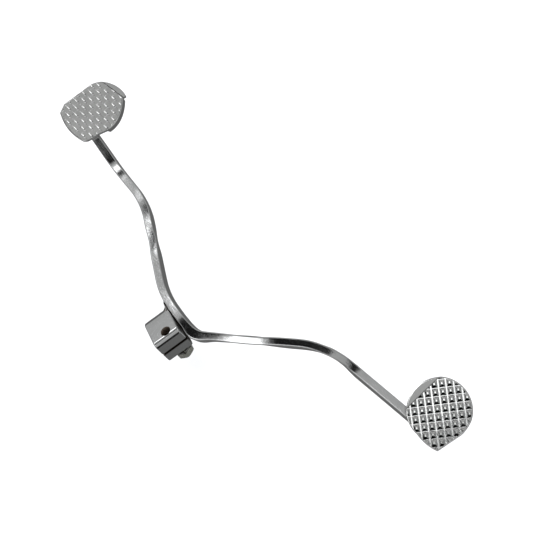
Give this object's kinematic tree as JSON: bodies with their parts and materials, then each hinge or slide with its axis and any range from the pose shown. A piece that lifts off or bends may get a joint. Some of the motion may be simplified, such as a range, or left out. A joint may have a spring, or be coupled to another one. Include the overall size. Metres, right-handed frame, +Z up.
{
  "type": "heel-and-toe gear shift lever",
  "caption": "Chrome-plated foot gear lever: a bent flat bar with a split splined clamp boss, a pinch bolt, and a round knurled tread pad at the toe end and at the heel end.",
  "frame": {"origin": "on the axis of the splined bore, at the boss's outboard end, where the boss meets the flat bar", "axes": "+X forward towards the toe pad, +Y outward from the engine along the bore axis, +Z up out of the treads"},
  "size_m": [0.2957, 0.1322, 0.0409],
  "materials": {
    "bar_chrome": "bright chrome plate over drawn flat bar",
    "boss_chrome": "bright chrome plate over machined steel",
    "tread_chrome": "chrome plate over knurled pressed plate",
    "weld_chrome": "plated weld bead, a little rough",
    "spring_steel": "dull spring steel",
    "zinc_plate": "zinc plate with a faint green-grey cast"
  },
  "bodies": {
    "lever": {"lever_bar": "bar_chrome", "clamp_boss": "boss_chrome", "boss_weld": "weld_chrome", "toe_pad": "tread_chrome", "heel_pad": "tread_chrome", "toe_weld_left": "weld_chrome", "toe_weld_right": "weld_chrome", "heel_weld_left": "weld_chrome", "heel_weld_right": "weld_chrome"},
    "washer": {"spring_washer": "spring_steel"},
    "bolt": {"pinch_bolt": "zinc_plate"}
  },
  "joints": [
    {"name": "pinch_bolt_travel", "type": "slide", "parent": "lever", "child": "washer", "axis": [0.5, 0, -0.866], "range_m": [0, 0.0045]},
    {"name": "pinch_bolt_turn", "type": "hinge", "parent": "washer", "child": "bolt", "pos_m": [0.00883, -0.0073, 0.0051], "axis": [0.5, 0, -0.866], "range_deg": [0, 1620]}
  ],
  "couplings": [
    {"joint": "pinch_bolt_turn", "follows": "pinch_bolt_travel", "rad_per_m": 6283.2}
  ]
}
